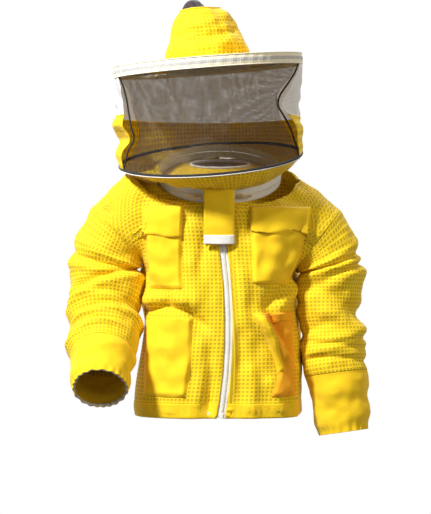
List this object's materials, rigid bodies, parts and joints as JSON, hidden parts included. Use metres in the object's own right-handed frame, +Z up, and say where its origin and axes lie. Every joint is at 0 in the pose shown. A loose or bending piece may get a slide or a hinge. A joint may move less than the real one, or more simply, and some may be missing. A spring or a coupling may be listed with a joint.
{
  "type": "beekeeping jacket with veil hood",
  "caption": "Ventilated mesh jacket with elastic cuffs, pockets, a front zip and a zip-on round hat hood with a see-through veil.",
  "frame": {"origin": "middle of the neck base, on the wearer's centre line, where the jacket rests round the neck", "axes": "+Z up, the front faces -Y, the wearer's left side is +X"},
  "size_m": [0.5749, 0.3688, 0.8427],
  "materials": {
    "yellow_mesh": "matte",
    "yellow_plain": "matte",
    "orange_pocket": "matte",
    "white_tape": "matte",
    "white_teeth": "satin",
    "slider_metal": "satin",
    "cream_band": "matte",
    "wire": "satin",
    "black_net": "matte",
    "pale_net": "matte",
    "hook_loop": "matte"
  },
  "bodies": {
    "jacket": {"front_panel_left": "yellow_mesh", "front_panel_right": "yellow_mesh", "back_panel": "yellow_mesh", "hem_band": "yellow_plain", "hem_elastic": "white_tape", "zip_tape_left": "white_tape", "zip_tape_right": "white_tape", "zip_teeth_left": "white_teeth", "zip_teeth_right": "white_teeth", "zip_box": "white_teeth", "neck_tape_lower": "white_tape", "neck_teeth_lower": "white_teeth", "neck_stop_left": "white_teeth", "neck_stop_right": "white_teeth", "collar": "yellow_mesh", "collar_binding": "white_tape", "hanger_loop": "white_tape", "chest_pocket_left": "yellow_plain", "chest_pocket_right": "yellow_plain", "chest_loop_left": "hook_loop", "chest_loop_right": "hook_loop", "lower_pocket_left": "orange_pocket", "lower_pocket_right": "yellow_plain", "throat_loop_left": "hook_loop", "throat_loop_right": "hook_loop"},
    "hood": {"hat_crown": "yellow_mesh", "crown_tip": "black_net", "brim": "yellow_plain", "brim_wire": "wire", "brim_band": "cream_band", "sweatband": "white_tape", "veil_front": "black_net", "veil_rear": "pale_net", "hood_back": "yellow_mesh", "veil_hoop": "wire", "hood_skirt": "yellow_mesh", "neck_tape_upper": "white_tape", "neck_teeth_upper": "white_teeth"},
    "throat_flap": {"throat_flap": "yellow_plain", "throat_hook": "hook_loop"},
    "front_slider": {"front_slider": "slider_metal"},
    "front_pull": {"front_pull": "slider_metal"},
    "upper_arm_left": {"sleeve_upper_left": "yellow_mesh", "sleeve_elbow_left": "yellow_mesh"},
    "forearm_left": {"sleeve_lower_left": "yellow_mesh", "cuff_left": "yellow_plain", "cuff_elastic_left": "yellow_plain"},
    "neck_slider_left": {"neck_slider_left": "slider_metal"},
    "neck_pull_left": {"neck_pull_left": "slider_metal"},
    "chest_flap_left": {"chest_flap_left": "yellow_plain", "chest_hook_left": "hook_loop"},
    "upper_arm_right": {"sleeve_upper_right": "yellow_mesh", "sleeve_elbow_right": "yellow_mesh"},
    "forearm_right": {"sleeve_lower_right": "yellow_mesh", "cuff_right": "yellow_plain", "cuff_elastic_right": "yellow_plain"},
    "neck_slider_right": {"neck_slider_right": "slider_metal"},
    "neck_pull_right": {"neck_pull_right": "slider_metal"},
    "chest_flap_right": {"chest_flap_right": "yellow_plain", "chest_hook_right": "hook_loop"}
  },
  "joints": [
    {"name": "front_zip", "type": "hinge", "parent": "jacket", "child": "front_slider", "pos_m": [-1.011, -0.11183, -0.26041], "axis": [0, 0.9989, -0.0467], "range_deg": [0, 20.5]},
    {"name": "front_pull_flip", "type": "hinge", "parent": "front_slider", "child": "front_pull", "pos_m": [-0.00721, -0.10693, -0.0402], "axis": [-1, 0, 0], "range_deg": [0, 15]},
    {"name": "hood_fold", "type": "hinge", "parent": "jacket", "child": "hood", "pos_m": [0, 0.10785, 0.08329], "axis": [-1, 0, 0], "range_deg": [0, 90]},
    {"name": "throat_flap_lift", "type": "hinge", "parent": "hood", "child": "throat_flap", "pos_m": [-0.002, -0.127, -0.002], "axis": [-1, 0, 0], "range_deg": [0, 100]},
    {"name": "chest_flap_lift_left", "type": "hinge", "parent": "jacket", "child": "chest_flap_left", "pos_m": [0.057, -0.11, -0.034], "axis": [-0.95, -0.3123, 0], "range_deg": [0, 110]},
    {"name": "chest_flap_lift_right", "type": "hinge", "parent": "jacket", "child": "chest_flap_right", "pos_m": [-0.071, -0.1069, -0.032], "axis": [-0.95, 0.3123, 0], "range_deg": [0, 110]},
    {"name": "neck_zip_left", "type": "hinge", "parent": "jacket", "child": "neck_slider_left", "pos_m": [0, 0, 0.033], "axis": [0, -0.4226, 0.9063], "range_deg": [0, 110]},
    {"name": "neck_zip_right", "type": "hinge", "parent": "jacket", "child": "neck_slider_right", "pos_m": [0, 0, 0.033], "axis": [0, 0.4226, -0.9063], "range_deg": [0, 108]},
    {"name": "neck_pull_flip_left", "type": "hinge", "parent": "neck_slider_left", "child": "neck_pull_left", "pos_m": [0.03408, -0.10772, -0.01723], "axis": [0, 0.4226, -0.9063], "range_deg": [0, 85]},
    {"name": "neck_pull_flip_right", "type": "hinge", "parent": "neck_slider_right", "child": "neck_pull_right", "pos_m": [-0.03821, -0.10658, -0.0167], "axis": [0, -0.4226, 0.9063], "range_deg": [0, 85]},
    {"name": "shoulder_left", "type": "hinge", "parent": "jacket", "child": "upper_arm_left", "pos_m": [0.192, 0, -0.095], "axis": [-0.7913, 0, 0.6114], "range_deg": [0, 95]},
    {"name": "elbow_left", "type": "hinge", "parent": "upper_arm_left", "child": "forearm_left", "pos_m": [0.214, -0.0065, -0.218], "axis": [-1, 0, 0], "range_deg": [0, 75], "deforming": ["sleeve_elbow_left"]},
    {"name": "shoulder_right", "type": "hinge", "parent": "jacket", "child": "upper_arm_right", "pos_m": [-0.2, 0, -0.084], "axis": [-0.7175, 0, -0.6966], "range_deg": [0, 95]},
    {"name": "elbow_right", "type": "hinge", "parent": "upper_arm_right", "child": "forearm_right", "pos_m": [-0.222, -0.018, -0.205], "axis": [-1, 0, 0], "range_deg": [-40, 22], "deforming": ["sleeve_elbow_right"]}
  ]
}
